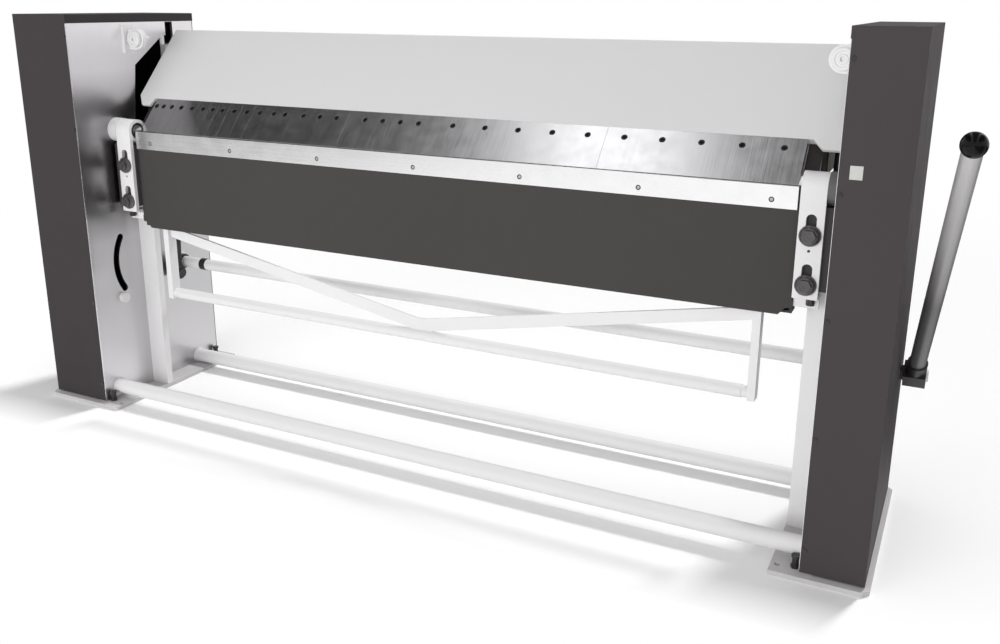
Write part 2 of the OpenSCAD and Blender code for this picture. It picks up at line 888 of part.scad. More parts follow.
module arms() {
    plate_low = fold_h - arm_drop;
    color(white_enamel)
    both_sides()
    difference() {
        union() {
            translate([0, fold_y, fold_h]) rod_along_x(arm_in, arm_out, hub_r);
            block([arm_in, arm_front_y, plate_low], [arm_out, arm_back_y, fold_h]);
        }
        translate([0, fold_y, fold_h])
            rod_along_x(arm_in - over, arm_out + over, pivot_r + run_gap + bush_t + seat_gap);
        arm_slot(knob_upper_z + knob_low);
        arm_slot(knob_lower_z + knob_low);
        translate([arm_mid, 0, (knob_upper_z + knob_lower_z) / 2 + knob_low + peg_r * 2])
            rod_along_y(arm_front_y - over, arm_back_y + over, peg_r);
    }
}

// Feet of the arms: a shelf behind the plate, with a block that hangs from it
module arm_feet() {
    foot_front_y = arm_back_y + arm_foot_back;
    shelf_low = foot_top - arm_shelf_t;
    color(white_enamel)
    both_sides()
    difference() {
        prism_along_x(arm_in, arm_out)
            polygon([
                [arm_back_y, foot_top], [lug_back_y, foot_top], [lug_back_y, foot_top - arm_foot_h],
                [foot_front_y, foot_top - arm_foot_h], [foot_front_y, shelf_low],
                [arm_back_y, shelf_low]
            ]);
        translate([arm_mid + height_screw_out, arm_back_y + arm_foot_back / 2, shelf_low - over])
            cylinder(r = height_head_r / 2 + seat_gap, h = arm_shelf_t + 2 * over);
    }
}

// Height screws under the shelves of the feet
module height_screws() {
    shelf_low = foot_top - arm_shelf_t;
    color(black_steel)
    both_sides()
        translate([arm_mid + height_screw_out, arm_back_y + arm_foot_back / 2, shelf_low]) {
            translate([0, 0, -height_head_l]) cylinder(r = height_head_r, h = height_head_l, $fn = 6);
            translate([0, 0, -over]) cylinder(r = height_head_r / 2, h = arm_shelf_t + over);
        }
}

// Apron: the front plate
module apron_outline() {
    polygon(with_mirror([
        [apron_half, fold_h - nose_gap],
        [apron_half, apron_low + corner_rise + tab_h + tab_out],
        [apron_half + tab_out, apron_low + corner_rise + tab_h],
        [apron_half + tab_out, apron_low + corner_rise + tab_out],
        [apron_half - corner_run / 2, apron_low + corner_rise],
        [apron_half - corner_run, apron_low]
    ]));
}

module apron() {
    color(dark_grey)
    difference() {
        prism_along_y(apron_front_y, apron_back_y) apron_outline();
        for (k = [0 : bar_screws - 1])
            translate([bar_screw_end - work_half + k * bar_pitch, 0, bar_screw_z])
                rod_along_y(apron_front_y - over, apron_back_y + over, bar_screw_r + seat_gap);
    }
}

// Stiffening box: a tray welded to the back of the plate
module apron_box() {
    box_back_y = apron_back_y + box_d;
    color(dark_grey)
    difference() {
        block([-apron_half, apron_back_y, box_low], [apron_half, box_back_y, box_low + box_h]);
        block([box_wall - apron_half, apron_back_y - over, box_low + box_wall],
              [apron_half - box_wall, box_back_y - box_wall, box_low + box_h - box_wall]);
        translate([0, apron_back_y + box_d / 2, box_low + box_h / 2])
            rod_along_x(-apron_half - over, apron_half + over, drain_r * 0.8);
    }
}

// Lugs on the ends of the apron, which take the lock knobs
module apron_lugs() {
    color(dark_grey)
    both_sides()
    difference() {
        block([lug_in, lug_front_y, knob_lower_z - lug_under],
              [lug_out, lug_back_y, knob_upper_z + lug_over]);
        for (z = [knob_lower_z, knob_upper_z])
            translate([arm_mid, 0, z])
                rod_along_y(lug_front_y - over, lug_back_y + over, shank_r + run_gap);
    }
}

module bending_bar() {
    half = work_half + bar_over;
    color(bright_steel)
    difference() {
        block([-half, bar_front_y, bar_low], [half, apron_front_y, fold_h]);
        for (k = [0 : bar_screws - 1])
            translate([bar_screw_end - work_half + k * bar_pitch, 0, bar_screw_z]) {
                rod_along_y(bar_front_y - over, apron_front_y + over, bar_screw_r + seat_gap);
                rod_along_y(bar_front_y - over, bar_front_y + bar_head_t, bar_head_r + seat_gap);
            }
    }
}

module bar_screws() {
    color(ground_steel)
    for (k = [0 : bar_screws - 1])
        translate([bar_screw_end - work_half + k * bar_pitch, 0, bar_screw_z]) {
            rod_along_y(bar_front_y, apron_back_y, bar_screw_r);
            rod_along_y(bar_front_y, bar_front_y + bar_head_t, bar_head_r);
        }
}

// Truss under the apron: two legs, a tube and a flat vee brace
module truss_frame() {
    leg_out = apron_half - truss_inset;
    leg_in = leg_out - leg_w;
    tube_half = leg_in - plug_l;
    brace_y = apron_back_y + (leg_d - brace_t) / 2;
    apex_top = truss_z + brace_up;
    apex_low = apex_top - brace_h;
    color(white_enamel) {
        both_sides()
            block([leg_in, apron_back_y, truss_low], [leg_out, apron_back_y + leg_d, box_low]);
        translate([0, apron_back_y + leg_d / 2, truss_z]) {
            rod_along_x(-tube_half, tube_half, truss_r);
            rod_along_x(-leg_in - over, leg_in + over, plug_r);
        }
        prism_along_y(brace_y, brace_y + brace_t)
            polygon([
                [-leg_in - over, box_low], [-brace_flat / 2, apex_top], [brace_flat / 2, apex_top],
                [leg_in + over, box_low], [leg_in + over, box_low - brace_h],
                [brace_flat, apex_low], [brace_flat / 2, truss_z], [-brace_flat / 2, truss_z],
                [-brace_flat, apex_low], [-leg_in - over, box_low - brace_h]
            ]);
    }
}

// Lock knobs: a flanged head with a six-sided cap, and a shank through the arm into the lug
module lock_knob(z) {
    flange_y = arm_front_y - face_gap;
    cone_y = flange_y - knob_flange_t;
    cap_y = cone_y - knob_cone_l;
    bevel = knob_flange_t / 4;
    color(black_steel)
    translate([arm_mid, 0, z]) {
        rod_along_y(cone_y + bevel, flange_y, knob_r);
        translate([0, cone_y, 0])
            rotate([-90, 0, 0])
                cylinder(r1 = knob_r - bevel, r2 = knob_r, h = bevel);
        translate([0, cap_y, 0])
            rotate([-90, 0, 0])
                cylinder(r1 = knob_cap_r + bevel, r2 = knob_r - bevel, h = knob_cone_l);
        translate([0, cap_y - knob_cap_l, 0])
            rotate([-90, 30, 0])
                cylinder(r = knob_cap_r, h = knob_cap_l + bevel, $fn = 6);
        rod_along_y(cone_y, lug_back_y - over, shank_r);
    }
}

// Clamping beam: a welded box with a face plate, a seat for the fingers and guide tongues
module beam_outline() {
    polygon([
        on_face(finger_l + face_gap, 0), beam_crown, [beam_back_y, beam_crown[1]],
        [beam_back_y, beam_foot_z], on_face(seat_heel, seat_back), on_face(seat_heel, finger_t),
        on_face(finger_l + face_gap, finger_t)
    ]);
}

module beam_hollow() {
    crown_in = on_face(face_top - beam_wall, face_t);
    polygon([
        on_face(finger_l + seat_t, seat_back), on_face(finger_l + seat_back, face_t), crown_in,
        [beam_back_y - beam_wall, beam_crown[1] - beam_wall],
        [beam_back_y - beam_wall, beam_foot_z + beam_wall],
        on_face(seat_heel + seat_t, seat_back)
    ]);
}

module face_plate() {
    ear_in = work_half + ear_gap;
    ear_low = finger_l - ear_drop;
    at_face()
        translate([0, 0, -face_t])
            linear_extrude(face_t)
                polygon([
                    [face_end, face_top], [face_end, ear_low], [ear_in + right_ear_run, ear_low],
                    [ear_in, finger_l + face_gap], [-ear_in, finger_l + face_gap],
                    [-ear_in - ear_in_run, ear_low], [ear_out_run - face_end, ear_low],
                    [-face_end, finger_l + beam_wall], [-face_end, face_top]
                ]);
}

module clamping_beam() {
    color(white_enamel)
    difference() {
        union() {
            difference() {
                prism_along_x(-box_end, box_end) beam_outline();
                prism_along_x(beam_wall - box_end, box_end - beam_wall) beam_hollow();
            }
            face_plate();
            both_sides()
                block([box_end - over, tongue_front_y, beam_foot_z],
                      [frame_half + tongue_out, tongue_back_y, tongue_top_z]);
        }
        translate([0, beam_pin_y, beam_pin_z]) {
            rod_along_x(-box_end - over, beam_wall / 2 - box_end, beam_pin_r + seat_gap);
            rod_along_x(box_end - beam_wall / 2, box_end + over, beam_pin_r + seat_gap);
        }
        at_face()
            for (i = [0 : finger_count - 1], x = finger_screw_xs(i))
                translate([x, finger_screw_s, -finger_grip_t])
                    cylinder(r = finger_screw_r + seat_gap, h = finger_grip_t);
    }
}

module beam_pins() {
    color(bright_steel)
    both_sides()
        translate([0, beam_pin_y, beam_pin_z]) {
            rod_along_x(box_end - beam_wall / 2, crank_in + pin_head_t, beam_pin_r);
            rod_along_x(box_end, box_end + pin_flange_t, beam_pin_r * 1.6);
            rod_along_x(crank_in, crank_in + pin_head_t, beam_pin_r * 1.4);
        }
}

// Rails inside the columns that guide the tongues
module beam_guides() {
    rail_low = fold_h + throat_foot;
    x = frame_half + plate_t;
    color(ground_steel)
    both_sides()
        for (y = [tongue_front_y - tongue_gap - rail_d, tongue_back_y + tongue_gap])
            block([x, y, rail_low], [x + rail_w, y + rail_d, plate_top - lip_h]);
}

// Fingers
module finger(i) {
    color(ground_steel)
    difference() {
        at_face()
            prism_along_x(finger_right(i + 1) + face_gap / 2, finger_right(i) - face_gap / 2)
                polygon([[0, 0], [finger_l, 0], [finger_l, -finger_t], [wedge_l, -finger_t]]);
        at_face()
            for (x = finger_screw_xs(i))
                translate([x, finger_screw_s, 0]) {
                    translate([0, 0, -finger_t - over])
                        cylinder(r = finger_screw_r + seat_gap, h = finger_t + 2 * over);
                    translate([0, 0, -finger_head_t])
                        cylinder(r = finger_head_r + face_gap, h = finger_head_t + over);
                }
    }
}

module finger_screws() {
    color(black_steel)
    at_face()
        for (i = [0 : finger_count - 1], x = finger_screw_xs(i))
            translate([x, finger_screw_s, 0]) {
                translate([0, 0, -finger_grip_t]) cylinder(r = finger_screw_r, h = finger_grip_t);
                translate([0, 0, -finger_head_t]) cylinder(r = finger_head_r, h = finger_head_t);
            }
}

// Stop brackets and stop screws
module stop_brackets() {
    web_front = -stop_ahead - stop_web_t;
    flange_front = web_front - stop_flange_d / 2;
    color(white_enamel)
    both_sides()
        difference() {
            union() {
                block([frame_half - stop_flange_t, flange_front, stop_z - stop_flange_h / 2],
                      [frame_half, flange_front + stop_flange_d, stop_z + stop_flange_h / 2]);
                translate([frame_half - stop_in, 0, stop_z])
                    rod_along_y(web_front, -stop_ahead, stop_eye_r);
                block([frame_half - stop_in, web_front, stop_z - stop_eye_r],
                      [frame_half - over, -stop_ahead, stop_z + stop_eye_r]);
            }
            translate([frame_half - stop_in, 0, stop_z])
                rod_along_y(web_front - over, over - stop_ahead, stop_r + run_gap);
        }
}

module stop_screw() {
    web_front = -stop_ahead - stop_web_t;
    head_back = web_front - face_gap;
    nut_front = face_gap - stop_ahead;
    color(white_enamel)
    translate([frame_half - stop_in, 0, stop_z]) {
        rod_along_y(head_back - stop_head_t, head_back, stop_head_r);
        rod_along_y(head_back - over, stop_reach - stop_ahead, stop_r);
        rod_along_y(nut_front, nut_front + stop_nut_t, stop_nut_r);
    }
}

// Clamp shaft
module cross_shaft() {
    left_end = frame_half + spigot_r + shaft_tail;
    right_end = frame_half + right_col_w + lever_gap + lever_hub_w + shaft_tail;
    color(white_enamel)
    translate([0, shaft_y, shaft_h]) {
        rod_along_x(-rod_out, rod_out, shaft_r);
        rod_along_x(-left_end, right_end, journal_r);
    }
}

module shaft_bearings() {
    color(ground_steel)
    both_sides()
        translate([0, shaft_y, shaft_h])
        difference() {
            union() {
                rod_along_x(frame_half - shaft_flange_t, frame_half, shaft_flange_r);
                rod_along_x(frame_half - over, frame_half + plate_t + over, spigot_r);
            }
            rod_along_x(frame_half - shaft_flange_t - over, frame_half + plate_t + 2 * over,
                        journal_r + run_gap);
        }
}

module cranks() {
    pin_end = rod_in - eye_side_gap;
    end_r = eye_r * 0.9;
    color(black_steel)
    both_sides() {
        difference() {
            union() {
                translate([0, shaft_y, shaft_h]) rod_along_x(crank_in, crank_out, crank_boss_r);
                translate([0, crank_pin_y, crank_pin_z]) rod_along_x(crank_in, crank_out, end_r);
                translate([crank_in, shaft_y, shaft_h])
                    rotate([crank_low, 0, 0])
                        translate([0, -crank_throw, -end_r])
                            cube([crank_t, crank_throw, 2 * end_r]);
            }
            translate([0, shaft_y, shaft_h])
                rod_along_x(crank_in - over, crank_out + over, journal_r + seat_gap);
        }
        translate([0, crank_pin_y, crank_pin_z]) {
            rod_along_x(pin_end, crank_in + over, crank_pin_r);
            rod_along_x(pin_end - pin_head_t, pin_end, crank_pin_r * 1.3);
        }
    }
}

module shaft_rings() {
    hub_in = frame_half + right_col_w + lever_gap;
    color(black_steel)
    translate([0, shaft_y, shaft_h]) {
        side(-1)
            difference() {
                rod_along_x(frame_half - ring_in - ring_l / 2, frame_half - ring_in + ring_l / 2, ring_r);
                rod_along_x(frame_half - ring_in - ring_l, frame_half - ring_in + ring_l,
                            shaft_r + seat_gap);
            }
        difference() {
            rod_along_x(frame_half + right_col_w + over, hub_in, journal_r * 1.3);
            rod_along_x(frame_half + right_col_w, hub_in + over, journal_r + seat_gap);
        }
    }
}

// Tie rods: a round eye on the crank pin and a slotted eye on the beam pin
module tie_rod() {
    outer_r = eye_slot_r + eye_wall;
    color(black_steel)
    difference() {
        union() {
            translate([0, crank_pin_y, crank_pin_z]) rod_along_x(rod_in, rod_out, eye_r);
            translate([(rod_in + rod_out) / 2, crank_pin_y, crank_pin_z])
                rotate([-rod_tilt, 0, 0])
                    translate([0, 0, eye_r * 0.8])
                        cylinder(r = rod_r, h = rod_span - eye_r * 0.8 - outer_r * 0.8);
            translate([0, eye_y, beam_pin_z]) {
                for (end = [-1, 1])
                    translate([0, end * eye_shift, 0]) rod_along_x(rod_in, rod_out, outer_r);
                block([rod_in, -eye_shift, -outer_r], [rod_out, eye_shift, outer_r]);
            }
        }
        translate([0, crank_pin_y, crank_pin_z])
            rod_along_x(rod_in - over, rod_out + over, crank_pin_r + run_gap);
        translate([0, eye_y, beam_pin_z]) {
            for (end = [-1, 1])
                translate([0, end * eye_shift, 0])
                    rod_along_x(rod_in - over, rod_out + over, eye_slot_r);
            block([rod_in - over, -eye_shift, -eye_slot_r], [rod_out + over, eye_shift, eye_slot_r]);
        }
    }
}

// Lever
module at_lever() {
    hub_in = frame_half + right_col_w + lever_gap;
    translate([hub_in + lever_hub_w / 2, shaft_y, shaft_h])
        rotate([lever_lean, 0, 0])
            rotate([0, lever_out, 0])
                children();
}

module lever_hub() {
    hub_in = frame_half + right_col_w + lever_gap;
    socket = lever_hub_h * 0.68;
    color(black_steel)
    difference() {
        union() {
            translate([hub_in, shaft_y, shaft_h])
                rotate([lever_lean, 0, 0])
                    translate([0, -lever_hub_d / 2, -lever_hub_h / 2])
                        cube([lever_hub_w, lever_hub_d, lever_hub_h]);
            at_lever() cylinder(r = neck_r, h = neck_l);
        }
        translate([0, shaft_y, shaft_h])
            rod_along_x(hub_in - over, hub_in + lever_hub_w + over, journal_r + seat_gap);
        at_lever()
            translate([0, 0, socket])
                cylinder(r = lever_r + seat_gap, h = neck_l);
    }
}

module lever_tube() {
    socket = lever_hub_h * 0.68;
    tube_end = lever_l - sqrt(pow(ball_r, 2) - pow(lever_r, 2));
    color(bright_steel)
    at_lever()
        difference() {
            translate([0, 0, socket]) cylinder(r = lever_r, h = tube_end - socket);
            translate([0, 0, socket - over])
                cylinder(r = lever_r - lever_wall, h = tube_end - socket + 2 * over);
        }
}

module lever_ball() {
    flat = sqrt(pow(ball_r, 2) - pow(lever_r, 2));
    color(black_steel)
    at_lever()
        translate([0, 0, lever_l])
            difference() {
                sphere(r = ball_r);
                translate([0, 0, -flat - ball_r]) cylinder(r = ball_r, h = ball_r);
            }
}

base_plates();
side(-1) side_plate(true);  // side_plate_left
side_plate(false);  // side_plate_right
side(-1) cover(left_col_w, false);  // cover_left
cover(right_col_w, true);  // cover_right
cover_screws();
slot_bolt();
levelling_bolts();
posts();
tie_tubes();
bed_beam();
bed_blade();
pivot_bearings();
pivot_pins();
shaft_bearings();
stop_brackets();
beam_guides();
arms();
arm_feet();
height_screws();
pivot_bushes();
apron();
apron_box();
apron_lugs();
bending_bar();
bar_screws();
truss_frame();
side(-1) lock_knob(knob_upper_z);  // lock_knob_upper_left
side(-1) lock_knob(knob_lower_z);  // lock_knob_lower_left
lock_knob(knob_upper_z);  // lock_knob_upper_right
lock_knob(knob_lower_z);  // lock_knob_lower_right
clamping_beam();
beam_pins();
for (i = [0 : finger_count - 1])
    finger(i);
finger_screws();
cross_shaft();
cranks();
shaft_rings();
lever_hub();
lever_tube();
lever_ball();
side(-1) tie_rod();  // tie_rod_left
tie_rod();  // tie_rod_right
side(-1) stop_screw();  // stop_screw_left
stop_screw();  // stop_screw_right
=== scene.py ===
"""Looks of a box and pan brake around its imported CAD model. Metres, Z up, the operator at -Y."""

import json
import math

import bmesh
import bpy
from mathutils import Matrix, Vector


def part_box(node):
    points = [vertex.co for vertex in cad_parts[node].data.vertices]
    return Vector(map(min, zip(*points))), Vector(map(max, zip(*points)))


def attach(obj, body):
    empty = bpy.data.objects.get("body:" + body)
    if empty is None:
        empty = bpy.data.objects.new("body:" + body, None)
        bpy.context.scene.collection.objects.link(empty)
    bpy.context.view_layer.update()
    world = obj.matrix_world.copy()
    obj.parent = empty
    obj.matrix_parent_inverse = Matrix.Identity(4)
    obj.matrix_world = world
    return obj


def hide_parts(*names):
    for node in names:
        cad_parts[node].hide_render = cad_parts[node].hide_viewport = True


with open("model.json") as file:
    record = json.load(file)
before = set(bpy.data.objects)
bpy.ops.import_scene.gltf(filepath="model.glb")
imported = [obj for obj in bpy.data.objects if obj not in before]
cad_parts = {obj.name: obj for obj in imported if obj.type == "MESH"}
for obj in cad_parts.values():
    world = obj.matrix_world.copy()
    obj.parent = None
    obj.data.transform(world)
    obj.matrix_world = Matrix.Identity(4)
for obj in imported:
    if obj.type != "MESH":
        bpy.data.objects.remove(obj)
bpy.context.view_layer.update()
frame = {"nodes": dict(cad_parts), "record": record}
NODES = frame["nodes"]
SLOT_OF = {row["node"]: row["material_slot"] for row in frame["record"]["subparts"]}

MM = 0.001
WHITE = (1.0, 1.0, 1.0, 1.0)

# Node trees

MAP_SOCKETS = ("From Min", "From Max", "To Min", "To Max")
# sockets of the colour mix node
MIX_FACTOR, MIX_A, MIX_B, MIX_OUT = 0, 6, 7, 2


class Nodes:
    """A small builder for the node tree of one material or world."""

    def __init__(self, owner):
        owner.use_nodes = True
        self.owner = owner
        self.tree = owner.node_tree
        self.tree.nodes.clear()
        self.coords = self.add("ShaderNodeTexCoord").outputs

    def add(self, kind, **values):
        node = self.tree.nodes.new(kind)
        for key, value in values.items():
            setattr(node, key, value)
        return node

    def link(self, source, target):
        """Joins two sockets, or sets the target where the source is a plain value."""
        if isinstance(source, (int, float, tuple)):
            target.default_value = source
        else:
            self.tree.links.new(source, target)

    def axes(self, vector):
        split = self.add("ShaderNodeSeparateXYZ")
        self.link(vector, split.inputs[0])
        return split.outputs

    def compute(self, operation, a, b=0.0):
        node = self.add("ShaderNodeMath", operation=operation)
        self.link(a, node.inputs[0])
        self.link(b, node.inputs[1])
        return node.outputs[0]

    def times(self, a, b):
        return self.compute("MULTIPLY", a, b)

    def remap(self, value, low, high, to_low=0.0, to_high=1.0):
        node = self.add("ShaderNodeMapRange")
        self.link(value, node.inputs["Value"])
        for key, number in zip(MAP_SOCKETS, (low, high, to_low, to_high)):
            node.inputs[key].default_value = number
        return node.outputs["Result"]

    def noise(self, scale, detail, stretch=None, roughness=0.5):
        node = self.add("ShaderNodeTexNoise")
        for key, number in (("Scale", scale), ("Detail", detail), ("Roughness", roughness)):
            node.inputs[key].default_value = number
        vector = self.coords["Object"]
        if stretch:
            mapping = self.add("ShaderNodeMapping")
            mapping.inputs["Rotation"].default_value = stretch[0]
            mapping.inputs["Scale"].default_value = stretch[1]
            self.link(vector, mapping.inputs["Vector"])
            vector = mapping.outputs["Vector"]
        self.link(vector, node.inputs["Vector"])
        return node.outputs["Fac"]

    def ramp(self, value, stops):
        """Grey tones by a value from 0 to 1, from (value, tone) stops."""
        node = self.add("ShaderNodeValToRGB")
        self.link(value, node.inputs["Fac"])
        elements = node.color_ramp.elements
        while len(elements) < len(stops):
            elements.new(0.5)
        for element, (position, tone) in zip(elements, stops):
            element.position = position
            element.color = (tone, tone, tone, 1)
        return node.outputs["Color"]

    def fade(self, axis, stops):
        """Painted shade: grey tones by place along one axis of the object, from (metres, tone) stops."""
        low, high = stops[0][0], stops[-1][0]
        place = self.remap(self.axes(self.coords["Object"])[axis], low, high)
        return self.ramp(place, [((at - low) / (high - low), tone) for at, tone in stops])

    def mix(self, factor, a, b, blend="MIX"):
        node = self.add("ShaderNodeMix", data_type="RGBA", blend_type=blend)
        for source, socket in ((factor, MIX_FACTOR), (a, MIX_A), (b, MIX_B)):
            self.link(source, node.inputs[socket])
        return node.outputs[MIX_OUT]

    def mix_shaders(self, factor, a, b):
        node = self.add("ShaderNodeMixShader")
        for source, socket in zip((factor, a, b), node.inputs):
            self.link(source, socket)
        return node.outputs[0]

    def white(self, kind, strength):
        """A white emission or background."""
        node = self.add(kind)
        node.inputs["Color"].default_value = WHITE
        self.link(strength, node.inputs["Strength"])
        return node

    def paper(self, tone):
        node = self.add("ShaderNodeBsdfDiffuse")
        node.inputs["Color"].default_value = (tone, tone, tone, 1.0)
        return node.outputs[0]

    def finish(self, output, shader):
        self.link(shader, self.add(output).inputs["Surface"])
        return self.owner


# Finishes

# the noise detail of a finish's drift, gloss, grain, brush marks and wear
DRIFT_DETAIL, GLOSS_DETAIL, GRAIN_DETAIL, STREAK_DETAIL, WEAR_DETAIL = 4.0, 3.0, 2.0, 3.0, 5.0
# the noise values between which a tone goes from its lowest to its highest
NOISE_SPAN = (0.3, 0.7)
STREAK_SPAN = (0.25, 0.75)
PATCH_SPAN = (0.42, 0.60)
GLOSS_PER_DRIFT = 9
STREAK_ROUGHNESS = 0.6
PATCHES_PER_METRE = 45.0
# how far the rounded normal turns from the face's own, as a cosine, where wear starts and is full
WEAR_SPAN = (0.99, 0.86)
RELIEF = 0.2 * MM
BEVEL_SAMPLES = 4


def rgb(r, g, b):
    """A linear colour from 8-bit sRGB numbers."""
    def linear(v):
        v /= 255
        return v / 12.92 if v <= 0.04045 else ((v + 0.055) / 1.055) ** 2.4
    return (linear(r), linear(g), linear(b), 1.0)


def shade(colour, factor):
    return tuple(min(1.0, c * factor) for c in colour[:3]) + (1.0,)


def surface(name, colour, rough, metal=0.0, mottle=0.04, mottle_scale=3.0, grain=900.0, grain_bump=0.05,
            rough_span=0.05, streak=None, streak_amount=0.0, streak_bump=0.0, edge=None,
            edge_width=0.8 * MM, specular=0.5, fade=None):
    """A finish with colour drift, fine grain, uneven gloss, brush marks, worn edges and, where given, painted
    shade by place.
    """
    graph = Nodes(bpy.data.materials.new(name))
    drift = graph.remap(graph.noise(mottle_scale, DRIFT_DETAIL), *NOISE_SPAN)
    base = graph.mix(drift, shade(colour, 1 - mottle), shade(colour, 1 + mottle))
    # painted shade: the base colour darkened by place
    if fade:
        base = graph.mix(1.0, base, graph.fade(*fade), "MULTIPLY")
    uneven = graph.noise(mottle_scale * GLOSS_PER_DRIFT, GLOSS_DETAIL)
    gloss = graph.remap(uneven, *NOISE_SPAN, rough - rough_span, rough + rough_span)
    height = graph.times(graph.noise(grain, GRAIN_DETAIL), grain_bump)
    if streak:
        lines = graph.noise(1.0, STREAK_DETAIL, streak, STREAK_ROUGHNESS)
        tone = graph.remap(lines, *STREAK_SPAN, 1 - streak_amount, 1 + streak_amount)
        base = graph.mix(1.0, base, tone, "MULTIPLY")
        gloss = graph.compute("ADD", gloss, graph.remap(lines, *NOISE_SPAN, -rough_span, rough_span))
        height = graph.compute("ADD", height, graph.times(lines, streak_bump))
    bevel = graph.add("ShaderNodeBevel", samples=BEVEL_SAMPLES)
    bevel.inputs["Radius"].default_value = edge_width
    if edge:
        worn_colour, amount = edge
        turned = graph.add("ShaderNodeVectorMath", operation="DOT_PRODUCT")
        graph.link(bevel.outputs["Normal"], turned.inputs[0])
        graph.link(graph.add("ShaderNodeNewGeometry").outputs["Normal"], turned.inputs[1])
        worn = graph.remap(turned.outputs["Value"], *WEAR_SPAN)
        patchy = graph.remap(graph.noise(PATCHES_PER_METRE, WEAR_DETAIL), *PATCH_SPAN)
        base = graph.mix(graph.times(graph.times(worn, patchy), amount), base, worn_colour)
    bump = graph.add("ShaderNodeBump")
    bump.inputs["Strength"].default_value = 1.0
    bump.inputs["Distance"].default_value = RELIEF
    graph.link(height, bump.inputs["Height"])
    graph.link(bevel.outputs["Normal"], bump.inputs["Normal"])
    body = graph.add("ShaderNodeBsdfPrincipled")
    graph.link(base, body.inputs["Base Color"])
    graph.link(gloss, body.inputs["Roughness"])
    graph.link(bump.outputs["Normal"], body.inputs["Normal"])
    body.inputs["Metallic"].default_value = metal
    body.inputs["Specular IOR Level"].default_value = specular
    return graph.finish("ShaderNodeOutputMaterial", body.outputs["BSDF"])


# the fingers' faces lean this far back
FACE_ANGLE = 48
# brush marks: rotation of the coordinates, then how many marks per metre along each axis
UP_THE_FACE = ((math.radians(-FACE_ANGLE), 0, 0), (420.0, 5.0, 5.0))
ALONG_X = ((0, 0, 0), (4.0, 700.0, 700.0))
ROUND_X = ((0, 0, 0), (500.0, 6.0, 6.0))
UPRIGHT = ((0, 0, 0), (260.0, 260.0, 3.0))

# painted shade: tones by place, in metres, which follow the photograph's shading
# painted shade on the covers: darker towards the left
PAINTED_SHADE_LEFT = ("X", ((-1.4, 0.80), (-0.5, 0.80), (0.5, 1.0), (1.4, 1.0)))
# painted shade on the pivot bearings: the right one much darker than the left
PAINTED_SHADE_RIGHT = ("X", ((-1.2, 1.0), (-0.5, 1.0), (0.5, 0.16), (1.2, 0.16)))
# painted shadow of the apron, bed and fingers on the side plates, darkest from 0.66 to 0.92 m up
PAINTED_SHADOW_OF_APRON = ("Z", ((0.0, 0.78), (0.30, 0.70), (0.55, 0.72), (0.66, 0.38), (0.92, 0.38),
                           (1.02, 0.75), (1.10, 1.0)))
# painted shadow of the column on the lever tube: darker towards the bottom
PAINTED_SHADOW_LOWER_HALF = ("Z", ((0.40, 0.32), (0.60, 0.28), (0.66, 0.26), (0.72, 0.46), (0.86, 0.62), (1.10, 0.85)))

WORN_GREY = rgb(178, 176, 172)

dark_enamel = surface(
    "dark_enamel", rgb(70, 67, 67), 0.62, mottle=0.02, mottle_scale=2.0, grain=1400, grain_bump=0.10,
    edge=(rgb(150, 147, 146), 0.30), specular=0.12)
# the covers' tone by X is painted shade
cover_enamel = surface(
    "cover_enamel", rgb(72, 68, 69), 0.66, mottle=0.02, mottle_scale=1.5, grain=1400, grain_bump=0.10,
    edge=(rgb(140, 137, 136), 0.25), edge_width=2.0 * MM, specular=0.08, fade=PAINTED_SHADE_LEFT)
white_enamel = surface(
    "white_enamel", rgb(232, 231, 232), 0.42, mottle=0.012, grain=500, grain_bump=0.04,
    edge=(WORN_GREY, 0.45), specular=0.2)
beam_enamel = surface(
    "beam_enamel", rgb(221, 220, 221), 0.45, mottle=0.006, grain=400, grain_bump=0.02,
    edge=(WORN_GREY, 0.35), specular=0.25)
plate_enamel = surface(
    "plate_enamel", rgb(200, 198, 198), 0.50, mottle=0.06, mottle_scale=9.0, grain=500, grain_bump=0.06,
    edge=(rgb(150, 148, 146), 0.6), specular=0.2)
# the right bearing's dark grey is painted shade
bearing_paint = surface(
    "bearing_paint", rgb(228, 227, 228), 0.40, mottle=0.02, grain=600, grain_bump=0.04,
    edge=(WORN_GREY, 0.45), specular=0.3, fade=PAINTED_SHADE_RIGHT)
# cream bar on a real edge, its light line a painted highlight
cream_edge_highlight = surface("cream_edge_highlight", rgb(214, 203, 170), 0.45, mottle=0.06, mottle_scale=20.0)
label_white = surface(
    "label_white", rgb(196, 196, 193), 0.42, mottle=0.04, mottle_scale=60.0, grain=2000, grain_bump=0.02)

# darker by height behind the apron: painted shadow
sheet_steel = surface(
    "sheet_steel", rgb(240, 238, 240), 0.32, metal=1.0, mottle=0.012, grain=1200, grain_bump=0.012,
    rough_span=0.01, streak=UPRIGHT, streak_amount=0.012, streak_bump=0.004,
    edge=(rgb(246, 246, 246), 0.6), fade=PAINTED_SHADOW_OF_APRON)
ground_steel = surface(
    "ground_steel", rgb(214, 213, 215), 0.20, metal=1.0, mottle=0.02, grain=1500, grain_bump=0.012,
    rough_span=0.03, streak=UP_THE_FACE, streak_amount=0.05, streak_bump=0.02,
    edge=(rgb(235, 235, 236), 0.5))
bright_steel = surface(
    "bright_steel", rgb(232, 231, 232), 0.24, metal=1.0, mottle=0.015, grain=1500, grain_bump=0.012,
    rough_span=0.04, streak=ALONG_X, streak_amount=0.03, streak_bump=0.02, edge=(rgb(245, 245, 245), 0.5))
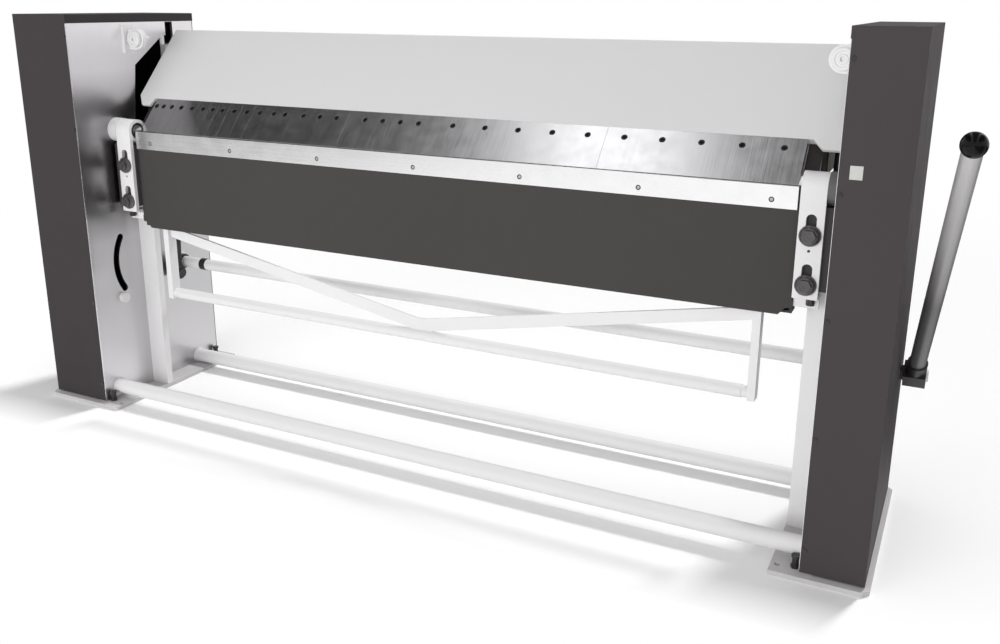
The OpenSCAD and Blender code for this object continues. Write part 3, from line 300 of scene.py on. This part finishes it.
# darker towards the bottom: painted shadow
lever_steel = surface(
    "lever_steel", rgb(206, 204, 205), 0.40, metal=0.45, mottle=0.02, grain=1500, grain_bump=0.01,
    rough_span=0.02, streak=UPRIGHT, streak_amount=0.02, streak_bump=0.003, specular=0.3,
    fade=PAINTED_SHADOW_LOWER_HALF)
dark_steel = surface(
    "dark_steel", rgb(92, 91, 92), 0.32, metal=1.0, mottle=0.08, grain=1200, grain_bump=0.05,
    streak=ROUND_X, streak_amount=0.08, streak_bump=0.04)
black_steel = surface(
    "black_steel", rgb(52, 50, 51), 0.36, metal=0.35, mottle=0.12, mottle_scale=30.0, grain=1100,
    grain_bump=0.12, edge=(rgb(128, 126, 126), 0.7))
knob_black = surface(
    "knob_black", rgb(88, 86, 87), 0.32, metal=0.55, mottle=0.1, mottle_scale=40.0, grain=1300,
    grain_bump=0.08, edge=(rgb(130, 128, 128), 0.6))
screw_black = surface(
    "screw_black", rgb(38, 37, 38), 0.30, metal=0.5, mottle=0.1, mottle_scale=60.0, grain=1300,
    grain_bump=0.06, edge=(rgb(150, 148, 148), 0.7))
screw_bright = surface(
    "screw_bright", rgb(188, 186, 187), 0.34, metal=0.5, mottle=0.06, mottle_scale=60.0, grain=1500,
    grain_bump=0.05, edge=(rgb(215, 214, 214), 0.8))
cheek_black = surface(
    "cheek_black", rgb(50, 48, 47), 0.55, mottle=0.10, mottle_scale=14.0, grain=900, grain_bump=0.10,
    specular=0.15)
black_plastic = surface(
    "black_plastic", rgb(12, 12, 12), 0.14, mottle=0.05, grain=600, grain_bump=0.02, specular=0.16)

FINISH = {
    "dark_enamel": dark_enamel, "white_enamel": white_enamel, "grey_enamel": plate_enamel,
    "sheet_steel": sheet_steel, "ground_steel": ground_steel, "bright_steel": bright_steel,
    "black_steel": black_steel, "dark_steel": dark_steel, "black_plastic": black_plastic,
}
OWN_FINISH = {
    "clamping_beam": beam_enamel, "lever_tube": lever_steel, "pivot_bearings": bearing_paint,
    "cover_left": cover_enamel, "cover_right": cover_enamel,
}


def dress(obj, material):
    obj.data.materials.clear()
    obj.data.materials.append(material)


def dress_nodes():
    for name, obj in NODES.items():
        if name.startswith("lock_knob"):
            dress(obj, knob_black)
        else:
            dress(obj, OWN_FINISH.get(name) or FINISH.get(SLOT_OF.get(name), white_enamel))


# Detail pieces, all sizes in millimetres

HEX_TURN = math.pi / 3
SHARP_FROM = math.radians(32)
# how a tube's section is turned, and how far a weld bead swells
SECTION_REFERENCE = Vector((0.31, 0.17, 0.94))
BEAD_SWELL, BEAD_BEAT = 0.12, 2.1


class Shape:
    """One mesh built from lofts, bars and plates."""

    def __init__(self):
        self.bm = bmesh.new()

    def bridge(self, low_row, high_row):
        count = len(low_row)
        for k in range(count):
            after = (k + 1) % count
            self.bm.faces.new((low_row[k], low_row[after], high_row[after], high_row[k]))

    def cap(self, rows):
        self.bm.faces.new(rows[0][::-1])
        self.bm.faces.new(rows[-1])

    def loft(self, rings, place, count=36):
        """Rings of (radius, height[, "hex"]) from the back to the front, capped."""
        rows = []
        for radius, height, *kind in rings:
            row = []
            for k in range(count):
                angle = 2 * math.pi * k / count
                reach = radius
                if kind:
                    reach *= math.cos(HEX_TURN / 2) / math.cos(angle % HEX_TURN - HEX_TURN / 2)
                point = Vector((reach * math.cos(angle), reach * math.sin(angle), height))
                row.append(self.bm.verts.new(place @ point * MM))
            rows.append(row)
        for low_row, high_row in zip(rows, rows[1:]):
            self.bridge(low_row, high_row)
        self.cap(rows)

    def tube(self, points, thick, closed=False, sides=8):
        """A round bar through points, or a closed weld bead with a slight swell."""
        points = [Vector(p) for p in points]
        total = len(points)
        rows = []
        for i, point in enumerate(points):
            ahead = points[(i + 1) % total] if closed or i + 1 < total else point
            behind = points[i - 1] if closed or i else point
            along = (ahead - behind).normalized()
            side = along.cross(SECTION_REFERENCE).normalized()
            up = along.cross(side)
            reach = thick * (1 + (BEAD_SWELL * math.sin(i * BEAD_BEAT) if closed else 0))
            rows.append([self.bm.verts.new((point + (side * math.cos(a) + up * math.sin(a)) * reach) * MM)
                         for a in (2 * math.pi * k / sides for k in range(sides))])
        for i in range(total if closed else total - 1):
            self.bridge(rows[i], rows[(i + 1) % total])
        if not closed:
            self.cap(rows)

    def plate(self, low, high, chamfer, place=Matrix()):
        """A flat bar between two corners, its front edges broken by the chamfer."""
        (x0, y0, z0), (x1, y1, z1) = low, high
        rows = []
        for z, inset in ((z0, 0.0), (z1 - chamfer, 0.0), (z1, chamfer)):
            rows.append([self.bm.verts.new(place @ Vector(v) * MM) for v in (
                (x0 + inset, y0 + inset, z), (x1 - inset, y0 + inset, z),
                (x1 - inset, y1 - inset, z), (x0 + inset, y1 - inset, z))])
        for low_row, high_row in zip(rows, rows[1:]):
            self.bridge(low_row, high_row)
        self.cap(rows)

    def piece(self, name, material, body, slot, replaces=()):
        bmesh.ops.recalc_face_normals(self.bm, faces=self.bm.faces)
        for face in self.bm.faces:
            face.smooth = True
        for edge in self.bm.edges:
            edge.smooth = edge.calc_face_angle(0.0) < SHARP_FROM
        mesh = bpy.data.meshes.new(name)
        self.bm.to_mesh(mesh)
        self.bm.free()
        obj = bpy.data.objects.new(name, mesh)
        bpy.context.scene.collection.objects.link(obj)
        dress(obj, material)
        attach(obj, body)
        if replaces:
            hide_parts(*replaces)


def facing_front(x, y, z):
    """A place whose own Z looks at the operator."""
    return Matrix.Translation((x, y, z)) @ Matrix.Rotation(math.pi / 2, 4, "X")


def low_corner(node):
    return [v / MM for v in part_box(node)[0]]


def middle(node):
    low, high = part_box(node)
    return [(a + b) / 2 / MM for a, b in zip(low, high)]


def places_along_x(node, gap=3.0):
    """Where the separate solids of one node stand along X."""
    xs = sorted(v.co.x / MM for v in NODES[node].data.vertices)
    groups = [[xs[0], xs[0]]]
    for x in xs:
        if x - groups[-1][1] > gap:
            groups.append([x, x])
        groups[-1][1] = x
    return [(a + b) / 2 for a, b in groups]


def ends(inner, outer):
    """A span of X at the left end, and the same at the right end."""
    return (-outer, -inner), (inner, outer)


def fingers_face():
    """The plane of the fingers' faces: X along the row, Y up the slope, Z out of it."""
    _, y, z = low_corner("finger_01")
    return Matrix.Translation((0, y, z)) @ Matrix.Rotation(math.radians(FACE_ANGLE), 4, "X")


# outlines of turned and hexagon parts: (radius, height over the carrying face[, "hex"]), back to front
STRIP_SCREW = ((4, -17.7), (4, -4), (6.45, -4), (6.45, -1.7), (6.1, -1.3))
STRIP_CAP = ((3.6, -1.5), (4.1, -1.4), (4.1, -0.6), (3.8, -0.2), (2.2, -0.2, "hex"), (2.1, -1.2, "hex"))
FINGER_SCREW = ((5, -36.4), (5, -8), (8, -8), (8, -0.8), (7.2, 0), (4.6, 0, "hex"), (4.4, -5, "hex"))
KNOB = ((8, -41.6), (8, 0), (24.2, 0), (25, 0.8), (25, 4.4), (24.3, 5.2), (23.2, 5.4), (22.6, 6),
        (18.6, 10.8), (17.2, 11.2, "hex"), (17.2, 17.4, "hex"), (15.8, 18.9, "hex"), (10.5, 19),
        (9.8, 18.3), (4.0, 18.3), (3.4, 17.4))
STOP_SCREW = ((9.2, -50.3), (10, -49.5), (10, -28.6), (17.5, -28.6, "hex"), (17.5, -16.6, "hex"),
              (10, -16.6), (10, 0), (25.2, 0), (26, 0.8), (26, 11.9), (24.9, 13), (18.2, 13),
              (17.0, 11.0), (12.6, 11.0), (11.4, 12.8), (6.4, 12.8, "hex"), (6.1, 7.5, "hex"))
FINE = 48


def strip_screws():
    """Screws of the bending bar: a dark ring with a bright cap in it."""
    screws, caps = Shape(), Shape()
    face_y = low_corner("bending_bar")[1]
    z = middle("bar_screws")[2]
    for x in places_along_x("bar_screws"):
        screws.loft(STRIP_SCREW, facing_front(x, face_y, z))
        caps.loft(STRIP_CAP, facing_front(x, face_y, z))
    screws.piece("strip_screws", screw_black, "apron_beam", "black_steel", ["bar_screws"])
    caps.piece("strip_screw_caps", screw_bright, "apron_beam", "ground_steel")


FINGER_SCREW_UP = 100


def finger_screws():
    screws = Shape()
    for x in places_along_x("finger_screws"):
        screws.loft(FINGER_SCREW, fingers_face() @ Matrix.Translation((x, FINGER_SCREW_UP, 0)))
    screws.piece("finger_screw_heads", screw_black, "clamping_beam", "black_steel", ["finger_screws"])


def at_front_of(node, rings):
    """A place for rings that end where the node's front is."""
    x, _, z = middle(node)
    return facing_front(x, low_corner(node)[1] + max(ring[1] for ring in rings), z)


def lock_knobs():
    for end in ("upper_left", "lower_left", "upper_right", "lower_right"):
        node = "lock_knob_" + end
        knob = Shape()
        knob.loft(KNOB, at_front_of(node, KNOB), FINE)
        knob.piece("knob_" + end, knob_black, node, "black_steel", [node])


def stop_screws():
    for side in ("left", "right"):
        node = "stop_screw_" + side
        screw = Shape()
        screw.loft(STOP_SCREW, at_front_of(node, STOP_SCREW), FINE)
        screw.piece("stop_head_" + side, white_enamel, node, "white_enamel", [node])


# the tie tubes' middle lines as (Y, Z), and the bead that welds their ends to the side plates
TIE_TUBES = ((-208, 51), (172, 37))
BEAD_ROUND_R, BEAD_R, BEAD_OFF_PLATE, BEAD_POINTS = 25.2, 2.0, 1.6, 40


def tube_welds():
    beads = Shape()
    bead_x = low_corner("side_plate_right")[0] - BEAD_OFF_PLATE
    for x in (-bead_x, bead_x):
        for y, z in TIE_TUBES:
            beads.tube([(x, y + BEAD_ROUND_R * math.cos(a), z + BEAD_ROUND_R * math.sin(a))
                        for a in (2 * math.pi * k / BEAD_POINTS for k in range(BEAD_POINTS))],
                       BEAD_R, closed=True)
    beads.piece("tube_welds", white_enamel, "frame", "white_enamel")


CUT_EDGE_X, CUT_EDGE_Y, CUT_EDGE_Z, CUT_EDGE_BROKEN = (1134.1, 1135.6), (-269.9, -266.5), (18, 1246), 0.3


def cover_cut_edges():
    """The bare front edges of the covers' bent sheets."""
    edges = Shape()
    for low_x, high_x in ends(*CUT_EDGE_X):
        edges.plate((low_x, CUT_EDGE_Y[0], CUT_EDGE_Z[0]), (high_x, CUT_EDGE_Y[1], CUT_EDGE_Z[1]),
                    CUT_EDGE_BROKEN)
    edges.piece("cover_cut_edges", bright_steel, "frame", "sheet_steel")


# a sloped plate behind the fingers' plane, measured up the slope and out of it
SLOPED_CHEEK_X, SLOPED_CHEEK_UP, SLOPED_CHEEK_OUT, SLOPED_CHEEK_BROKEN = (
    (1031.2, 1065.8), (47, 139), (-21.9, -19.5), 0.6)
END_CHEEK_X, END_CHEEK_Y, END_CHEEK_Z, END_CHEEK_BROKEN = (1066.2, 1068.4), (-30, 186), (912, 990), 0.4


def beam_end_cheeks():
    """Thin black plates laid on the clamping beam's ends beside the fingers."""
    cheeks = Shape()
    for sloped, upright in zip(ends(*SLOPED_CHEEK_X), ends(*END_CHEEK_X)):
        cheeks.plate((sloped[0], SLOPED_CHEEK_UP[0], SLOPED_CHEEK_OUT[0]),
                     (sloped[1], SLOPED_CHEEK_UP[1], SLOPED_CHEEK_OUT[1]),
                     SLOPED_CHEEK_BROKEN, fingers_face())
        cheeks.plate((upright[0], END_CHEEK_Y[0], END_CHEEK_Z[0]),
                     (upright[1], END_CHEEK_Y[1], END_CHEEK_Z[1]),
                     END_CHEEK_BROKEN)
    cheeks.piece("beam_end_cheeks", cheek_black, "clamping_beam", "black_steel")


# the cream bar on an edge at the beam's right end, its light line a painted highlight: its bar's radius, X,
# and (Y, Z) points from its foot
EDGE_HIGHLIGHT_R, EDGE_HIGHLIGHT_X = 1.5, 1069.6
EDGE_HIGHLIGHT_PATH = ((64, 915), (58.5, 960), (60, 966), (66, 967.5), (182, 954))


def beam_end_edge_highlight():
    edge_line = Shape()
    edge_line.tube([(EDGE_HIGHLIGHT_X, y, z) for y, z in EDGE_HIGHLIGHT_PATH], EDGE_HIGHLIGHT_R)
    edge_line.piece("beam_end_edge_highlight", cream_edge_highlight, "clamping_beam", "white_enamel")


BLANK_X, BLANK_FOOT_Z, BLANK_H, BLANK_T, BLANK_BROKEN = (1157.4, 1184.0), 959, 29.6, 0.5, 0.2


def blank_plate():
    """A small bare plate on the front of the right cover."""
    plate = Shape()
    foot = facing_front(0, low_corner("cover_right")[1], BLANK_FOOT_Z)
    plate.plate((BLANK_X[0], 0, 0), (BLANK_X[1], BLANK_H, BLANK_T), BLANK_BROKEN, foot)
    plate.piece("blank_plate", label_white, "frame", "white_enamel")


# Studio

# where the floor that a camera sees turns plain white: away from the machine, and in front of it
WHITE_BY_DISTANCE = (2.6, 5.0)
WHITE_BY_Y = (-0.34, -0.50)
# the tone of the floor for the light that comes back from it
FLOOR_TONE = 0.8
# painted reflections: what metal sees on the floor, as places in metres and the tones there: in front, darker
# to the left
FRONT_FAR_LEFT = (-6.2, -4.2, 0.45, 0.62)
FRONT_LEFT = (-4.4, -2.2, 0.0, 0.62)
# painted reflection: a dark stretch in front on the right
RIGHT_BY_X = (1.5, 2.4)
RIGHT_BY_Y = (0.6, 0.2)
RIGHT_TONES = (0.0, 1.0, 1.0, 0.15)
# painted shadow of the machine on the floor behind it on the right, seen only by metal, a dark patch: a point
# of its edge, how the edge runs, and its soft borders
PATCH_X, PATCH_Y = 0.03, 0.74
PATCH_PER_X, PATCH_PER_Y = 0.744, 0.668
PATCH_EDGE = (-0.10, 0.14)
PATCH_BY_Y = (0.35, 0.6)
PATCH_BY_DISTANCE = (5.0, 16.0, 1.0, 0.0)
BACK_TONES = (0.0, 1.0, 0.95, 0.07)
FRONT_TO_BACK = (-0.6, 0.2)


def floor_material():
    """White paper. Cameras see it white but for shadows, metal sees painted reflections on it, with a painted
    shadow of the machine behind it.
    """
    graph = Nodes(bpy.data.materials.new("studio_floor"))
    path = graph.add("ShaderNodeLightPath").outputs
    split = graph.axes(graph.coords["Object"])
    x, y = split["X"], split["Y"]
    distance = graph.add("ShaderNodeVectorMath", operation="LENGTH")
    graph.link(graph.coords["Object"], distance.inputs[0])
    away = distance.outputs["Value"]

    plain_white = graph.compute("MAXIMUM", graph.remap(away, *WHITE_BY_DISTANCE), graph.remap(y, *WHITE_BY_Y))
    white = graph.white("ShaderNodeEmission", 1.0).outputs[0]
    seen = graph.mix_shaders(plain_white, graph.paper(1.0), white)

    front = graph.compute("ADD", graph.remap(x, *FRONT_FAR_LEFT), graph.remap(x, *FRONT_LEFT))
    right = graph.times(graph.remap(x, *RIGHT_BY_X), graph.remap(y, *RIGHT_BY_Y))
    front = graph.times(front, graph.remap(right, *RIGHT_TONES))
    across = graph.compute("SUBTRACT",
                           graph.times(graph.compute("SUBTRACT", x, PATCH_X), PATCH_PER_X),
                           graph.times(graph.compute("SUBTRACT", y, PATCH_Y), PATCH_PER_Y))
    # painted shadow of the machine on the floor behind it, seen only by metal
    dark = graph.times(graph.remap(across, *PATCH_EDGE), graph.remap(y, *PATCH_BY_Y))
    dark = graph.times(dark, graph.remap(away, *PATCH_BY_DISTANCE))
    back = graph.remap(dark, *BACK_TONES)
    behind = graph.remap(y, *FRONT_TO_BACK)
    tone = graph.compute("ADD", graph.times(front, graph.compute("SUBTRACT", 1.0, behind)),
                         graph.times(back, behind))
    mirrored = graph.white("ShaderNodeEmission", tone).outputs[0]

    other = graph.mix_shaders(path["Is Glossy Ray"], graph.paper(FLOOR_TONE), mirrored)
    return graph.finish("ShaderNodeOutputMaterial", graph.mix_shaders(path["Is Camera Ray"], other, seen))


FLOOR_R, FLOOR_SEGMENTS, FLOOR_DROP = 60.0, 96, 0.1 * MM


def make_floor():
    mesh = bpy.data.meshes.new("studio_floor")
    disc = bmesh.new()
    bmesh.ops.create_circle(disc, cap_ends=True, segments=FLOOR_SEGMENTS, radius=FLOOR_R)
    disc.to_mesh(mesh)
    disc.free()
    floor = bpy.data.objects.new("studio_floor", mesh)
    bpy.context.scene.collection.objects.link(floor)
    floor.location.z = -FLOOR_DROP
    dress(floor, floor_material())


# what polished metal sees overhead, by how far sideways it looks: a strip lamp on each side
OVERHEAD = ((0.0, 0.09), (0.16, 0.09), (0.20, 0.11), (0.235, 0.28), (0.26, 0.60), (0.29, 0.97),
            (0.34, 1.0), (0.385, 0.93), (0.42, 0.42), (0.455, 0.16), (0.50, 0.08), (0.56, 0.04),
            (0.63, 0.022), (0.72, 0.045))
OVERHEAD_LEVEL = 1.85
# how steeply up metal looks where the white horizon gives way to the strip lamps
HORIZON_SPAN = (0.42, 0.58)
WORLD_LEVEL = 0.50


def make_world():
    world = bpy.data.worlds.new("studio")
    bpy.context.scene.world = world
    graph = Nodes(world)
    path = graph.add("ShaderNodeLightPath").outputs
    look = graph.axes(graph.coords["Generated"])
    overhead = graph.white("ShaderNodeBackground", OVERHEAD_LEVEL)
    graph.link(graph.ramp(graph.compute("ABSOLUTE", look["X"]), OVERHEAD), overhead.inputs["Color"])
    horizon = graph.white("ShaderNodeBackground", 1.0)
    steep = graph.remap(look["Z"], *HORIZON_SPAN)
    mirrored = graph.mix_shaders(steep, horizon.outputs[0], overhead.outputs[0])
    level = graph.white("ShaderNodeBackground", WORLD_LEVEL).outputs[0]
    light = graph.mix_shaders(path["Is Glossy Ray"], level, mirrored)
    clear = graph.compute("MAXIMUM", path["Is Camera Ray"], path["Is Transmission Ray"])
    backdrop = graph.white("ShaderNodeBackground", 1.0).outputs[0]
    graph.finish("ShaderNodeOutputWorld", graph.mix_shaders(clear, light, backdrop))


def add_lamp(name, kind, energy):
    """A lamp that gives light without being seen or mirrored."""
    data = bpy.data.lights.new(name, kind)
    data.energy = energy
    lamp = bpy.data.objects.new(name, data)
    bpy.context.scene.collection.objects.link(lamp)
    lamp.visible_glossy = False
    lamp.visible_camera = False
    return lamp


KEY_FROM, KEY_STRENGTH, KEY_SOFTNESS = (0.22, 0.62, 0.75), 1.9, 7


def key_light():
    """Daylight from above and behind, which draws the shadows of the tubes."""
    lamp = add_lamp("key_light", "SUN", KEY_STRENGTH)
    lamp.data.angle = math.radians(KEY_SOFTNESS)
    lamp.rotation_euler = Vector(KEY_FROM).to_track_quat("Z", "Y").to_euler()


FRONT_PLACE, FRONT_TARGET, FRONT_SIZE, FRONT_POWER = (-0.6, -4.6, 1.5), (0, 0, 0.7), (5.0, 2.0), 118


def front_light():
    lamp = add_lamp("front_light", "AREA", FRONT_POWER)
    lamp.data.shape = "RECTANGLE"
    lamp.data.size, lamp.data.size_y = FRONT_SIZE
    lamp.location = FRONT_PLACE
    lamp.rotation_euler = (Vector(FRONT_TARGET) - Vector(FRONT_PLACE)).to_track_quat("-Z", "Y").to_euler()


CAMERA_PLACE, CAMERA_DOWN, CAMERA_TURN, CAMERA_ROLL = (1.3961, -2.4172, 1.3156), 15.596, 26.292, 0.278
LENS, SENSOR, SHIFT, CLIP = 35.10, 36.0, (0.0017, -0.0479), (0.05, 300.0)


def make_camera():
    """The photograph's own view, from the front right and a little down."""
    data = bpy.data.cameras.new("photo_view")
    data.sensor_width = SENSOR
    data.lens = LENS
    data.shift_x, data.shift_y = SHIFT
    data.clip_start, data.clip_end = CLIP
    camera = bpy.data.objects.new("photo_view", data)
    bpy.context.scene.collection.objects.link(camera)
    camera.matrix_world = (
        Matrix.Translation(CAMERA_PLACE)
        @ Matrix.Rotation(math.radians(CAMERA_TURN), 4, "Z")
        @ Matrix.Rotation(math.pi / 2 - math.radians(CAMERA_DOWN), 4, "X")
        @ Matrix.Rotation(math.radians(CAMERA_ROLL), 4, "Z")
    )
    bpy.context.scene.camera = camera


dress_nodes()
for make_piece in (strip_screws, finger_screws, lock_knobs, stop_screws, tube_welds, cover_cut_edges,
                   beam_end_cheeks, beam_end_edge_highlight, blank_plate):
    make_piece()

make_floor()
make_world()
key_light()
front_light()
make_camera()
bpy.context.scene.view_settings.view_transform = "Standard"
